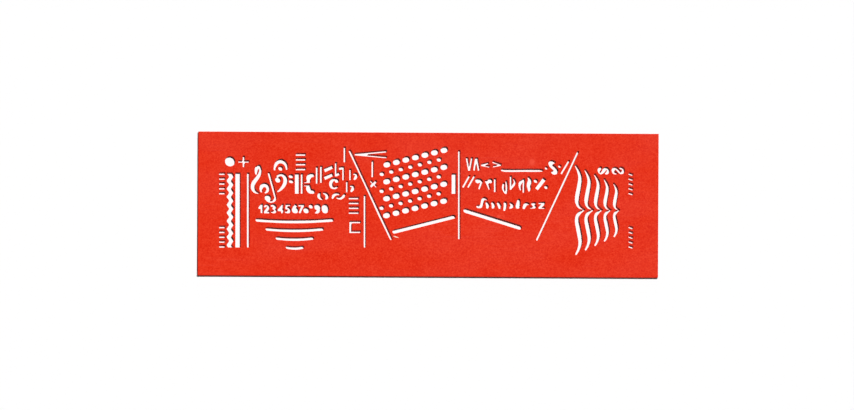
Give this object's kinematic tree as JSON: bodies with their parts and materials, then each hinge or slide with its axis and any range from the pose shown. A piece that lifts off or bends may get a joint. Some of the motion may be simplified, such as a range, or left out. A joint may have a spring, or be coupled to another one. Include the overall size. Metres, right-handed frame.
{
  "type": "music staff template",
  "caption": "Thin flat drawing template with clefs, rests, note heads, slurs, braces and dynamics cut through it, for drawing music notation by hand.",
  "frame": {"origin": "middle of the underside, the face that lies on the paper", "axes": "+X along the sheet in reading direction, +Y up the page, +Z out of the paper"},
  "size_m": [0.19, 0.0594, 0.0008],
  "materials": {
    "red_plastic": "opaque red moulded plastic with a faint satin grain"
  },
  "bodies": {
    "root": {"template_sheet": "red_plastic"}
  },
  "joints": []
}
